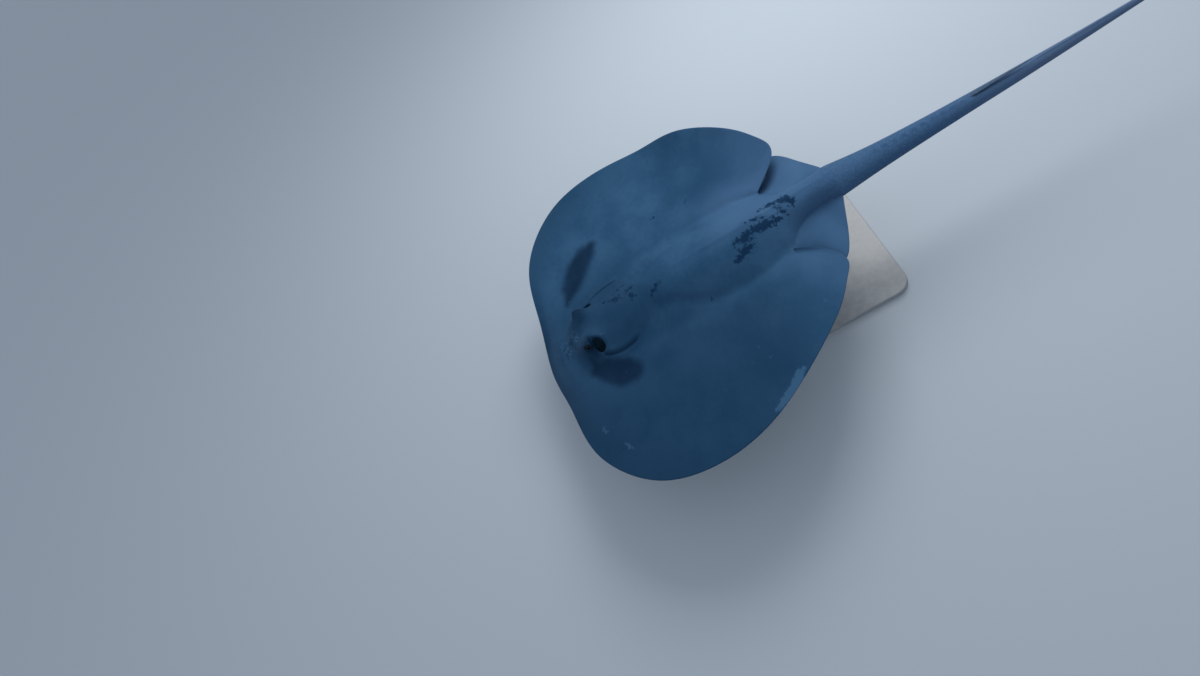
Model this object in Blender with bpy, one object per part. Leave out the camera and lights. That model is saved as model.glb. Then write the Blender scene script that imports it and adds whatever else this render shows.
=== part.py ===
"""Short-tail stingray, life size, gliding on two rods over a flat display base.

Frame: metres, +Z up, the animal faces -Y and its left side is +X.  The origin
is the middle of the base's underside.  The body itself is worked out in body
coordinates: x to the animal's left, y backwards from the snout tip, z above
the plane through the middle of the body at mid length.
"""

import math

import bmesh
import bpy
import numpy as np

# ---- driving dimensions (metres) -------------------------------------------
RIDE_HEIGHT = 0.32        # body plane above the floor
STAND_STATION = 0.70      # body station that stands over the base's middle
GAP = 0.0003              # clearance between neighbouring solids
FIN_EDGE = 0.0020         # half thickness of the fins at their edge
SHARP_ANGLE = math.radians(50)   # edges bent more than this are shaded sharp

TAIL_ROOT = 1.254         # body station where the tail comes free of the fins
TAIL_CUT_1 = 1.620        # base length of the tail ends here
TAIL_CUT_2 = 2.080        # middle length of the tail ends here
TAIL_TIP = 2.600          # end of the tail

HEAD_CUT = 4              # the head ends at this fin ray's root
SNOUT_RAY = 0.55          # the snout between this ray and its mirror is head
NOTCH_RAY = 13            # the notch between pectoral and pelvic fin
PECTORAL_END = 12.75      # the pectoral fin stops just before the notch
PELVIC_START = 13.55      # the pelvic fin starts just behind it
LAST_RAY = 18             # last pelvic ray, at the tail's side
PELVIC_END = 17.97        # the pelvic fin stops just before that ray
ROUND_RAY = 15.5          # the tail's section is fully round from here
RAY_GAP = 0.003           # clearance between nodes, counted along the rays

EYE_PLACE = (0.0775, 0.224, 0.0700)   # centre of the left eyeball
EYE_RADIUS = 0.0172
ORBIT_PLACE = (0.0655, 0.2325, 0.0535)  # centre of the raised orbit round the eye
ORBIT_SIZE = (0.0300, 0.0450, 0.0360)

STING_ROOT = 1.740        # body station of the sting's root
STING_LENGTH = 0.210
STING_WIDTH = 0.0130
STING_THICKNESS = 0.0060
STING_TIP = 0.0006        # half width of the sting's point
STING_TAPER = 2.2         # the sting keeps its width, then narrows to the point
STING_LIFT = (0.0008, 0.0088)    # its height over the tail at the root and the tip

BASE_LENGTH = 1.240       # along the body
BASE_WIDTH = 0.600
BASE_THICKNESS = 0.020
BASE_CORNER = 0.060
BASE_BEVEL = 0.003
ROD_RADIUS = 0.0150
ROD_STATIONS = {"stand_rod_front": 0.46, "stand_rod_rear": 0.88}
SOCKET_DEPTH = 0.030      # how far each rod reaches into the trunk
BELLY_CLEARANCE = 0.010   # the socket cutter starts this far below the belly

# Fin rays from the snout round the disc to the tail.  Each ray runs straight,
# in plan, from its root on the side of the trunk to the edge of the fin.
# root x, root y, edge x, edge y, rise of the edge on the left and on the right,
# and the body's half thickness at the root, above and below.
RAYS = (
    (0.000, 0.120, 0.000, 0.000, -0.036, -0.036, 0.046, 0.036),   # snout tip
    (0.072, 0.136, 0.205, 0.038, -0.018, 0.028, 0.044, 0.036),
    (0.128, 0.192, 0.434, 0.087, -0.002, 0.082, 0.042, 0.037),
    (0.163, 0.285, 0.625, 0.234, 0.012, 0.085, 0.040, 0.038),
    (0.186, 0.395, 0.701, 0.400, 0.022, 0.071, 0.039, 0.039),
    (0.202, 0.515, 0.707, 0.568, 0.030, 0.058, 0.038, 0.039),     # wing tip
    (0.206, 0.640, 0.660, 0.729, 0.034, 0.071, 0.036, 0.037),
    (0.200, 0.760, 0.568, 0.887, 0.037, 0.125, 0.032, 0.033),
    (0.186, 0.868, 0.445, 1.040, 0.025, 0.111, 0.027, 0.028),
    (0.173, 0.940, 0.356, 1.114, 0.018, 0.077, 0.021, 0.022),
    (0.165, 0.978, 0.297, 1.147, 0.015, 0.048, 0.015, 0.016),     # rear corner
    (0.162, 0.996, 0.230, 1.120, 0.014, 0.044, 0.011, 0.012),
    (0.159, 1.008, 0.182, 1.068, 0.018, 0.042, 0.009, 0.010),
    (0.146, 1.026, 0.153, 1.022, 0.014, 0.016, 0.008, 0.008),     # notch
    (0.104, 1.060, 0.208, 1.084, -0.012, -0.019, 0.012, 0.014),   # pelvic fin
    (0.072, 1.108, 0.276, 1.142, -0.007, -0.010, 0.014, 0.015),     # pelvic corner
    (0.059, 1.164, 0.216, 1.190, -0.010, -0.008, 0.013, 0.014),
    (0.062, 1.212, 0.138, 1.224, -0.004, -0.004, 0.009, 0.010),
    (0.070, 1.252, 0.074, 1.254, 0.000, 0.000, 0.004, 0.004),     # tail's side
)

# The raised lobe at the rear of the right fin is rounder, and the front of the
# pelvic fin is tucked under it: edge x and edge y of these rays there.
RIGHT_EDGE = {11: (0.240, 1.133), 12: (0.194, 1.094), 13: (0.156, 1.026), 14: (0.246, 1.050),
              15: (0.295, 1.126)}

# Stations along the middle of the body: y, height of the body's middle
# surface, thickness above it, thickness below it.
BACKBONE = (
    (0.120, -0.034, 0.046, 0.036),
    (0.220, -0.021, 0.078, 0.050),
    (0.350, -0.009, 0.094, 0.062),
    (0.500, 0.000, 0.104, 0.070),
    (0.660, 0.006, 0.106, 0.073),
    (0.820, 0.013, 0.096, 0.068),
    (0.960, 0.026, 0.080, 0.058),
    (1.080, 0.040, 0.066, 0.048),
    (1.180, 0.053, 0.056, 0.042),
    (1.254, 0.059, 0.050, 0.039),
)

# Stations along the free tail: y, half width, half height above and below,
# height of its middle.
TAIL = (
    (1.254, 0.0720, 0.0500, 0.0390, 0.0590),
    (1.380, 0.0540, 0.0410, 0.0330, 0.0530),
    (1.500, 0.0440, 0.0350, 0.0290, 0.0500),
    (1.620, 0.0370, 0.0300, 0.0255, 0.0480),
    (1.760, 0.0305, 0.0255, 0.0220, 0.0465),
    (1.900, 0.0255, 0.0215, 0.0190, 0.0460),
    (2.080, 0.0180, 0.0165, 0.0155, 0.0475),
    (2.250, 0.0120, 0.0115, 0.0115, 0.0510),
    (2.430, 0.0072, 0.0072, 0.0072, 0.0560),
    (2.600, 0.0030, 0.0030, 0.0030, 0.0620),
)

FLANK_SOFT = 2.0          # trunk's cross section falls softly to the fins
FLANK_ROUND = 0.5         # tail's cross section is an ellipse
WING_CURVE = 1.8          # the fins rise with this power of the way out
WING_TAPER = 1.6          # how fast the fins thin towards the edge
PELVIC_DROP = 0.016       # the pelvic roots lie this far below the body's middle

ROWS_PER_RAY = 3
CROSS_STEPS = 6           # columns from the middle of the back to a root
WING_STEPS = 9            # columns along a pectoral ray
PELVIC_STEPS = 4


# ---- smooth curves through named stations ----------------------------------
def spline(stations, values, at):
    """Natural cubic spline through the values at the stations."""
    stations = np.asarray(stations, float)
    values = np.asarray(values, float)
    at = np.asarray(at, float)
    count = len(stations)
    step = np.diff(stations)
    slope = np.diff(values) / step
    matrix = np.eye(count)
    bend = np.zeros(count)
    for i in range(1, count - 1):
        matrix[i, i - 1:i + 2] = step[i - 1], 2 * (step[i - 1] + step[i]), step[i]
        bend[i] = 6 * (slope[i] - slope[i - 1])
    bend = np.linalg.solve(matrix, bend)
    i = np.clip(np.searchsorted(stations, at, "right") - 1, 0, count - 2)
    h = step[i]
    a = (stations[i + 1] - at) / h
    b = 1.0 - a
    curve = (a ** 3 - a) * bend[i] + (b ** 3 - b) * bend[i + 1]
    return a * values[i] + b * values[i + 1] + curve * h * h / 6


def ray(column, k, odd=False):
    """Value of a column of RAYS at ray k, mirrored across the snout.

    The mirror makes the disc smooth where left and right meet.  An odd
    column, such as an x, changes sign there.
    """
    values = np.array([row[column] for row in RAYS])
    sign = -1.0 if odd else 1.0
    both = np.concatenate([sign * values[:0:-1], values])
    return spline(np.arange(1 - len(RAYS), len(RAYS)), both, k)


def edge(k, side):
    """Place of the fin's edge in plan at ray k, its x counted outwards."""
    left = np.array([row[2:4] for row in RAYS])
    right = left.copy()
    for at, place in RIGHT_EDGE.items():
        right[at] = place
    both = np.concatenate([right[:0:-1] * (-1, 1), left])
    stations = np.arange(1 - len(RAYS), len(RAYS))
    x = side * spline(stations, both[:, 0], side * k)
    return np.stack([x, spline(stations, both[:, 1], side * k)], -1)


def rise(k, side):
    """How far the fin's edge stands above its root, at ray k on one side."""
    left = np.array([row[4] for row in RAYS])
    right = np.array([row[5] for row in RAYS])
    both = np.concatenate([right[:0:-1], left])
    return spline(np.arange(1 - len(RAYS), len(RAYS)), both, side * k)


def smooth_step(value):
    """0 below 0, 1 above 1, with level ends."""
    value = np.clip(value, 0, 1)
    return value * value * (3 - 2 * value)


def root_drop(k):
    """How far the fin roots lie below the body's middle at ray k."""
    start = smooth_step((k - PECTORAL_END) / (PELVIC_START - PECTORAL_END))
    end = smooth_step((k - LAST_RAY + 2) / 2)
    return PELVIC_DROP * start * (1 - end)


def along(table, column, y):
    """Value of a column of a station table at body station y."""
    table = np.array(table)
    return spline(table[:, 0], table[:, column], y)


# ---- the body as two sheets: above and below the middle surface ------------
def trunk_sheets(k, across):
    """Upper and lower sheet of the trunk at rays k, across from -1 to 1.

    Across is the place between the right root and the left root.  The
    thickness falls from the middle to the roots as (1 - across^2)^flank.
    """
    k, across = np.meshgrid(k, across, indexing="ij")
    y = ray(1, k)
    x = (ray(0, k, odd=True) - GAP) * across
    blend = smooth_step((k - NOTCH_RAY) / (ROUND_RAY - NOTCH_RAY))
    flank = FLANK_SOFT + (FLANK_ROUND - FLANK_SOFT) * blend
    fall = np.maximum(1 - across ** 2, 0) ** flank
    middle = along(BACKBONE, 1, y) - root_drop(k) * across ** 4
    above = ray(6, k) + (along(BACKBONE, 2, y) - ray(6, k)) * fall
    below = ray(7, k) + (along(BACKBONE, 3, y) - ray(7, k)) * fall
    return np.stack([x, y, middle + above], -1), np.stack([x, y, middle - below], -1)


def fin_sheets(k, out, side):
    """Upper and lower sheet of a fin at rays k, out from 0 (root) to 1 (edge)."""
    k, out = np.meshgrid(k, out, indexing="ij")
    root = np.stack([ray(0, k, odd=True), ray(1, k)], -1)
    reach = edge(k, side) - root
    length = np.linalg.norm(reach, axis=-1)
    start = np.minimum(GAP / np.maximum(length, GAP), 0.5)
    way = start + (1 - start) * out
    plan = root + reach * way[..., None]
    middle = along(BACKBONE, 1, root[..., 1]) - root_drop(k) + rise(k, side) * way ** WING_CURVE
    taper = (1 - way) ** WING_TAPER * (1 + WING_TAPER * way)
    above = FIN_EDGE + (np.maximum(ray(6, k), FIN_EDGE) - FIN_EDGE) * taper
    below = FIN_EDGE + (np.maximum(ray(7, k), FIN_EDGE) - FIN_EDGE) * taper
    x = side * plan[..., 0]
    y = plan[..., 1]
    return np.stack([x, y, middle + above], -1), np.stack([x, y, middle - below], -1)


def tail_sheets(y, across):
    """Upper and lower sheet of the free tail, an ellipse in cross section."""
    y, across = np.meshgrid(y, across, indexing="ij")
    round_off = np.sqrt(np.maximum(1 - across ** 2, 0))
    x = along(TAIL, 1, y) * across
    middle = along(TAIL, 4, y)
    above = along(TAIL, 2, y) * round_off
    below = along(TAIL, 3, y) * round_off
    return np.stack([x, y, middle + above], -1), np.stack([x, y, middle - below], -1)


# ---- meshes ----------------------------------------------------------------
def to_world(points):
    """Body coordinates to the model's frame."""
    return np.asarray(points, float) + (0.0, -STAND_STATION, RIDE_HEIGHT)


def add_object(name, mesh_data, color, roughness):
    """One named object with its own material, smooth on its round sides."""
    mesh = bpy.data.meshes.new(name)
    mesh_data.to_mesh(mesh)
    mesh_data.free()
    material = bpy.data.materials.new(name)
    material.use_nodes = True
    shader = material.node_tree.nodes["Principled BSDF"]
    shader.inputs["Base Color"].default_value = (*color, 1.0)
    shader.inputs["Roughness"].default_value = roughness
    mesh.materials.append(material)
    mesh.shade_smooth()
    mesh.set_sharp_from_angle(angle=SHARP_ANGLE)
    thing = bpy.data.objects.new(name, mesh)
    bpy.context.scene.collection.objects.link(thing)
    return thing


def closed_body(patches):
    """One closed mesh from patches, each an upper and a lower grid.

    Upper and lower faces follow the grids, and a wall closes every edge
    that only one face of the upper sheet uses.
    """
    upper = np.concatenate([grid.reshape(-1, 3) for grid, _, _ in patches])
    lower = np.concatenate([grid.reshape(-1, 3) for _, grid, _ in patches])
    faces = []
    start = 0
    for grid, _, flip in patches:
        rows, columns = grid.shape[:2]
        index = start + np.arange(rows * columns).reshape(rows, columns)
        quads = np.stack([index[:-1, :-1], index[:-1, 1:], index[1:, 1:], index[1:, :-1]], -1)
        quads = quads.reshape(-1, 4)
        faces.append(quads[:, ::-1] if flip else quads)
        start += rows * columns
    faces = np.concatenate(faces)
    _, first, same = np.unique(np.round(upper, 6), axis=0, return_index=True, return_inverse=True)
    upper, lower = upper[first], lower[first]
    faces = same.reshape(-1)[faces]
    mesh_data = bmesh.new()
    tops = [mesh_data.verts.new(point) for point in to_world(upper)]
    bottoms = [mesh_data.verts.new(point) for point in to_world(lower)]
    used = {}
    for quad in faces:
        loop = [v for i, v in enumerate(quad) if v != quad[i - 1]]
        if len(set(loop)) < 3:
            continue
        mesh_data.faces.new([tops[v] for v in loop])
        mesh_data.faces.new([bottoms[v] for v in reversed(loop)])
        for v, w in zip(loop, loop[1:] + loop[:1]):
            used[(v, w)] = True
    for v, w in used:
        if (w, v) not in used:
            mesh_data.faces.new([tops[w], tops[v], bottoms[v], bottoms[w]])
    bmesh.ops.remove_doubles(mesh_data, verts=mesh_data.verts, dist=1e-5)
    bmesh.ops.dissolve_degenerate(mesh_data, edges=mesh_data.edges, dist=1e-6)
    bmesh.ops.triangulate(mesh_data, faces=mesh_data.faces)
    bmesh.ops.recalc_face_normals(mesh_data, faces=mesh_data.faces)
    return mesh_data


def rows(first, last):
    """Rays from first to last, evenly spaced."""
    count = max(2, round((last - first) * ROWS_PER_RAY) + 1)
    return np.linspace(first, last, count)


def boolean(thing, cutter, operation):
    """Apply a Boolean with a cutter that then stays hidden."""
    cutter.hide_render = True
    cutter.display_type = "WIRE"
    modifier = thing.modifiers.new(operation.lower(), "BOOLEAN")
    modifier.operation = operation
    modifier.solver = "EXACT"
    modifier.object = cutter


def ellipsoid(name, centre, size, rings=8, sides=14):
    """A closed ellipsoid at a body place."""
    mesh_data = bmesh.new()
    bmesh.ops.create_uvsphere(mesh_data, u_segments=sides, v_segments=rings, radius=1.0)
    bmesh.ops.scale(mesh_data, verts=mesh_data.verts, vec=size)
    bmesh.ops.translate(mesh_data, verts=mesh_data.verts, vec=tuple(to_world(centre)))
    return add_object(name, mesh_data, (0.01, 0.02, 0.03), 0.2)


def cylinder(name, radius, foot, top, color, roughness, sides=24):
    """A closed upright cylinder between two points of the model's frame."""
    mesh_data = bmesh.new()
    height = top[2] - foot[2]
    bmesh.ops.create_cone(mesh_data, cap_ends=True, segments=sides,
                          radius1=radius, radius2=radius, depth=height)
    middle = (foot[0], foot[1], foot[2] + height / 2)
    bmesh.ops.translate(mesh_data, verts=mesh_data.verts, vec=middle)
    return add_object(name, mesh_data, color, roughness)


# ---- the pieces ------------------------------------------------------------
SKIN_COLOR = (0.050, 0.095, 0.165)
FIN_COLOR = (0.045, 0.085, 0.150)
TAIL_COLOR = (0.040, 0.075, 0.125)
EYE_COLOR = (0.004, 0.008, 0.014)
STING_COLOR = (0.043, 0.082, 0.138)
STAND_COLOR = (0.265, 0.280, 0.295)

across_back = np.sin(np.linspace(-1, 1, 2 * CROSS_STEPS + 1) * math.pi / 2)


def make_head():
    """Head with the snout, raised orbits and sockets for the eyes."""
    patches = []
    k = np.concatenate([rows(0, SNOUT_RAY), rows(SNOUT_RAY, HEAD_CUT - RAY_GAP)[1:]])
    upper, lower = trunk_sheets(k, across_back)
    patches.append((upper, lower, False))
    reach = np.linspace(0, 1, WING_STEPS + 1)
    for side in (1, -1):
        upper, lower = fin_sheets(rows(0, SNOUT_RAY), reach, side)
        root_upper, root_lower = trunk_sheets(rows(0, SNOUT_RAY), np.array([side]))
        upper[:, 0] = root_upper[:, 0]
        lower[:, 0] = root_lower[:, 0]
        patches.append((upper, lower, side < 0))
    head = add_object("head", closed_body(patches), SKIN_COLOR, 0.5)
    for side, label in ((1, "left"), (-1, "right")):
        x, y, z = ORBIT_PLACE
        orbit = ellipsoid("guide_orbit_" + label, (side * x, y, z), ORBIT_SIZE)
        boolean(head, orbit, "UNION")
    for side, label in ((1, "left"), (-1, "right")):
        x, y, z = EYE_PLACE
        radius = EYE_RADIUS + GAP
        socket = ellipsoid("cutter_socket_" + label, (side * x, y, z), (radius,) * 3)
        boolean(head, socket, "DIFFERENCE")
        ellipsoid("eye_" + label, (side * x, y, z), (EYE_RADIUS - GAP,) * 3)


def make_trunk():
    """Trunk behind the head, with a socket in the belly for each rod."""
    k = rows(HEAD_CUT + RAY_GAP, NOTCH_RAY - RAY_GAP)
    upper, lower = trunk_sheets(k, across_back)
    trunk = add_object("trunk", closed_body([(upper, lower, False)]), SKIN_COLOR, 0.5)
    for name, station in ROD_STATIONS.items():
        belly = along(BACKBONE, 1, station) - along(BACKBONE, 3, station)
        foot = to_world((0.0, station, belly - BELLY_CLEARANCE))
        top = to_world((0.0, station, belly + SOCKET_DEPTH))
        cutter = cylinder("cutter_" + name, ROD_RADIUS + GAP, foot, top, STAND_COLOR, 0.5)
        boolean(trunk, cutter, "DIFFERENCE")
        foot = to_world((0.0, station, 0.0))
        foot[2] = BASE_THICKNESS + GAP
        top[2] -= GAP
        cylinder(name, ROD_RADIUS, foot, top, STAND_COLOR, 0.4)


def make_fins():
    """Pectoral fins, which make the disc, and the small pelvic fins."""
    for side, label in ((1, "left"), (-1, "right")):
        out = np.linspace(0, 1, WING_STEPS + 1)
        k = rows(SNOUT_RAY, PECTORAL_END)
        k[0] += RAY_GAP
        upper, lower = fin_sheets(k, out, side)
        add_object("pectoral_fin_" + label, closed_body([(upper, lower, side < 0)]), FIN_COLOR, 0.5)
        out = np.linspace(0, 1, PELVIC_STEPS + 1)
        k = rows(PELVIC_START, PELVIC_END)
        upper, lower = fin_sheets(k, out, side)
        add_object("pelvic_fin_" + label, closed_body([(upper, lower, side < 0)]), FIN_COLOR, 0.5)


def make_tail():
    """Tail in three lengths; the first grows out of the trunk between the fins."""
    k = rows(NOTCH_RAY + RAY_GAP, LAST_RAY)
    upper, lower = trunk_sheets(k, across_back)
    y = np.linspace(TAIL_ROOT, TAIL_CUT_1 - GAP, 6)[1:]
    tail_upper, tail_lower = tail_sheets(y, across_back)
    upper = np.concatenate([upper, tail_upper])
    lower = np.concatenate([lower, tail_lower])
    add_object("tail_base", closed_body([(upper, lower, False)]), TAIL_COLOR, 0.6)
    for name, first, last in (("tail_middle", TAIL_CUT_1, TAIL_CUT_2 - GAP),
                              ("tail_tip", TAIL_CUT_2, TAIL_TIP)):
        upper, lower = tail_sheets(np.linspace(first, last, 8), across_back)
        add_object(name, closed_body([(upper, lower, False)]), TAIL_COLOR, 0.6)


def make_sting():
    """The sting: a flat tapering blade that lies just over the tail."""
    steps = np.linspace(0, 1, 13)
    y = STING_ROOT + STING_LENGTH * steps
    half = STING_WIDTH / 2 * (1 - steps ** STING_TAPER) + STING_TIP
    lift = STING_LIFT[0] + (STING_LIFT[1] - STING_LIFT[0]) * steps
    floor = along(TAIL, 4, y) + along(TAIL, 2, y) + lift
    upper = []
    lower = []
    for at, wide, low in zip(y, half, floor):
        thick = STING_THICKNESS * (0.25 + 0.75 * wide / (STING_WIDTH / 2))
        lower.append([(-wide, at, low), (0.0, at, low), (wide, at, low)])
        upper.append([(-wide, at, low + thick * 0.4), (0.0, at, low + thick),
                      (wide, at, low + thick * 0.4)])
    add_object("tail_sting", closed_body([(np.array(upper), np.array(lower), False)]),
               STING_COLOR, 0.5)


def make_base():
    """Flat base: a slab with round corners and a fine bevel along its edges."""
    mesh_data = bmesh.new()
    bmesh.ops.create_cube(mesh_data, size=1.0)
    bmesh.ops.scale(mesh_data, verts=mesh_data.verts, vec=(BASE_WIDTH, BASE_LENGTH, BASE_THICKNESS))
    bmesh.ops.translate(mesh_data, verts=mesh_data.verts, vec=(0, 0, BASE_THICKNESS / 2))
    half = BASE_THICKNESS / 2
    upright = [e for e in mesh_data.edges if abs(e.verts[0].co.z - e.verts[1].co.z) > half]
    bmesh.ops.bevel(mesh_data, geom=upright, offset=BASE_CORNER, segments=6,
                    profile=0.5, affect="EDGES")
    rim = [e for e in mesh_data.edges if min(v.co.z for v in e.verts) > half]
    bmesh.ops.bevel(mesh_data, geom=rim, offset=BASE_BEVEL, segments=2, profile=0.5, affect="EDGES")
    add_object("stand_base", mesh_data, STAND_COLOR, 0.4)


def clear_scene():
    """Remove whatever the start file holds."""
    for thing in list(bpy.data.objects):
        bpy.data.objects.remove(thing, do_unlink=True)


clear_scene()
make_head()
make_trunk()
make_fins()
make_tail()
make_sting()
make_base()
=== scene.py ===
"""Short-tail stingray gliding over a display stand: skin, eyes, sting, stand and studio.

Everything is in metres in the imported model's frame: +Z up, the animal faces
-Y and its left side is +X.  The body is worked out in body coordinates (x to
the animal's left, y backwards from the snout tip, z above the body's middle
plane) and then set over the stand.
"""
import math

import bmesh
import bpy
import numpy as np
from mathutils import Matrix, Vector


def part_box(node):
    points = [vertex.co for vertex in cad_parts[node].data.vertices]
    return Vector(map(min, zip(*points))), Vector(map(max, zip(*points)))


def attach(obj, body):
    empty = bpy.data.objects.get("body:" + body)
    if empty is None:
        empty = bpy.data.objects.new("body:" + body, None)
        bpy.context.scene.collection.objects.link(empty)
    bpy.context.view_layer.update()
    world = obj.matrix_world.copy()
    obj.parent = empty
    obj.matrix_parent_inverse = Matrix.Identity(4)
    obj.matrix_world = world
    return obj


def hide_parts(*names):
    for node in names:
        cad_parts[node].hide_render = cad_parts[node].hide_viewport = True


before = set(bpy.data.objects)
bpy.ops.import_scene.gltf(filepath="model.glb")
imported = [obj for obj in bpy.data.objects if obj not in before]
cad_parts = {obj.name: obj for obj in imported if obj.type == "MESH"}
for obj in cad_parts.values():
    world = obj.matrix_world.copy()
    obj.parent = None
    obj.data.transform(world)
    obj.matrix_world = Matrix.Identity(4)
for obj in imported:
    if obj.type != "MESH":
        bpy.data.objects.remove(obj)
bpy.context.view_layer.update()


# ---- skin: the shape of the body ----
# One scaleless skin covers head, disc, pelvic fins and tail.  It is a thin cast
# over the solids, laid out on rays that run from the side of the trunk to the
# edge of the fins, so its rows follow the fin rays as the real cartilage does.
STAND_STATION = 0.7
RIDE_HEIGHT = 0.32
FIN_EDGE = 0.0022          # half thickness of the fin just inside its rounded edge
EDGE_ROUND = 0.006         # the edge is rounded over this width
NOTCH_RAY = 13
ROUND_RAY = 15.5
LAST_RAY = 18
WING_CURVE = 1.8
WING_TAPER = 1.6
PELVIC_DROP = 0.016

# root x, root y, edge x, edge y, rise left, rise right, half thickness above, below
RAYS = np.array((
    (0.000, 0.120, 0.000, 0.000, -0.036, -0.036, 0.046, 0.036),
    (0.072, 0.136, 0.205, 0.038, -0.018, 0.028, 0.044, 0.036),
    (0.128, 0.192, 0.434, 0.087, -0.002, 0.082, 0.042, 0.037),
    (0.163, 0.285, 0.625, 0.234, 0.012, 0.085, 0.040, 0.038),
    (0.186, 0.395, 0.701, 0.400, 0.022, 0.071, 0.039, 0.039),
    (0.202, 0.515, 0.707, 0.568, 0.030, 0.058, 0.038, 0.039),
    (0.206, 0.640, 0.660, 0.729, 0.034, 0.071, 0.036, 0.037),
    (0.200, 0.760, 0.568, 0.887, 0.037, 0.125, 0.032, 0.033),
    (0.186, 0.868, 0.445, 1.040, 0.025, 0.111, 0.027, 0.028),
    (0.173, 0.940, 0.356, 1.114, 0.018, 0.077, 0.021, 0.022),
    (0.165, 0.978, 0.297, 1.147, 0.015, 0.048, 0.015, 0.016),
    (0.162, 0.996, 0.230, 1.120, 0.014, 0.044, 0.011, 0.012),
    (0.159, 1.008, 0.182, 1.068, 0.018, 0.042, 0.009, 0.010),
    (0.146, 1.026, 0.153, 1.022, 0.014, 0.016, 0.008, 0.008),
    (0.104, 1.060, 0.208, 1.084, -0.012, -0.019, 0.012, 0.014),
    (0.072, 1.108, 0.276, 1.142, -0.007, -0.010, 0.014, 0.015),
    (0.059, 1.164, 0.216, 1.190, -0.010, -0.008, 0.013, 0.014),
    (0.062, 1.212, 0.138, 1.224, -0.004, -0.004, 0.009, 0.010),
    (0.070, 1.252, 0.0702, 1.2521, 0.000, 0.000, 0.0002, 0.0002),
))
RIGHT_EDGE = {11: (0.24, 1.133), 12: (0.194, 1.094), 13: (0.156, 1.026), 14: (0.246, 1.05),
              15: (0.295, 1.126)}

# y, height of the middle surface, thickness above it, thickness below it
BACKBONE = np.array((
    (0.120, -0.034, 0.046, 0.036), (0.220, -0.021, 0.078, 0.050),
    (0.350, -0.009, 0.094, 0.062), (0.500, 0.000, 0.104, 0.070),
    (0.660, 0.006, 0.106, 0.073), (0.820, 0.013, 0.096, 0.068),
    (0.960, 0.026, 0.080, 0.058), (1.080, 0.040, 0.066, 0.048),
    (1.180, 0.053, 0.056, 0.042), (1.254, 0.059, 0.050, 0.039),
))

# y, half width, half height above, below, height of the middle
TAIL = np.array((
    (1.254, 0.0704, 0.0500, 0.0390, 0.0590), (1.380, 0.0540, 0.0410, 0.0330, 0.0530),
    (1.500, 0.0440, 0.0350, 0.0290, 0.0500), (1.620, 0.0370, 0.0300, 0.0255, 0.0480),
    (1.760, 0.0305, 0.0255, 0.0220, 0.0465), (1.900, 0.0255, 0.0215, 0.0190, 0.0460),
    (2.080, 0.0180, 0.0165, 0.0155, 0.0475), (2.250, 0.0120, 0.0115, 0.0115, 0.0510),
    (2.430, 0.0072, 0.0072, 0.0072, 0.0560), (2.600, 0.0030, 0.0030, 0.0030, 0.0620),
))


def to_frame(points):
    """Body coordinates to the model's frame: the body stands over the base's middle."""
    return np.asarray(points, float) + (0.0, -STAND_STATION, RIDE_HEIGHT)


def spline(stations, values, at):
    """Natural cubic spline: cubic pieces whose slope and bend agree at each station."""
    step = np.diff(stations)
    slope = np.diff(values) / step
    count = len(stations)
    matrix = np.eye(count)
    bend = np.zeros(count)
    for i in range(1, count - 1):
        matrix[i, i - 1:i + 2] = step[i - 1], 2 * (step[i - 1] + step[i]), step[i]
        bend[i] = 6 * (slope[i] - slope[i - 1])
    bend = np.linalg.solve(matrix, bend)
    i = np.clip(np.searchsorted(stations, at, "right") - 1, 0, count - 2)
    h = step[i]
    a = (stations[i + 1] - at) / h
    b = 1.0 - a
    curve = (a ** 3 - a) * bend[i] + (b ** 3 - b) * bend[i + 1]
    return a * values[i] + b * values[i + 1] + curve * h * h / 6


def ease(value):
    """0 below 0, 1 above 1, and 3v^2 - 2v^3 between, so both ends are level."""
    value = np.clip(value, 0, 1)
    return value * value * (3 - 2 * value)


def full_turn(count):
    """Equal steps once round, the last one short of the first."""
    return np.linspace(0, 2 * math.pi, count + 1)[:-1]


def window(value, start, rise, end, fall):
    """Rises smoothly from 0 at start over rise, and falls back to 0 at end over fall."""
    return ease((value - start) / rise) * ease((end - value) / fall)


def bell(distance, width):
    """exp(-(distance / width)^2): a soft ridge one width to each side."""
    return np.exp(-(distance / width) ** 2)


def both_sides(right, left, k):
    """Spline through a row of values that runs over the snout from right to left."""
    return spline(np.arange(1 - len(left), len(left)), np.concatenate([right[:0:-1], left]), k)


def ray(number, k, odd=False):
    """A column of RAYS at ray k; an odd column changes sign across the snout."""
    values = RAYS[:, number]
    return both_sides(-values if odd else values, values, k)


def fin_edge(k, side):
    """Place of the fin's edge at ray k, its x counted outwards, and its rise."""
    right = RAYS[:, 2:4].copy()
    for at, place in RIGHT_EDGE.items():
        right[at] = place
    x = side * both_sides(-right[:, 0], RAYS[:, 2], side * k)
    y = both_sides(right[:, 1], RAYS[:, 3], side * k)
    rise = both_sides(RAYS[:, 5], RAYS[:, 4], side * k)
    return x, y, rise


def along(table, number, y):
    """A column of a station table at body station y."""
    return spline(table[:, 0], table[:, number], y)


def root_drop(k):
    """The pelvic roots lie lower than the body's middle; level at both ends."""
    start = ease((k - 12.5) / 1.3)
    return PELVIC_DROP * start * (1 - ease((k - LAST_RAY + 2) / 2))


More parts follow.
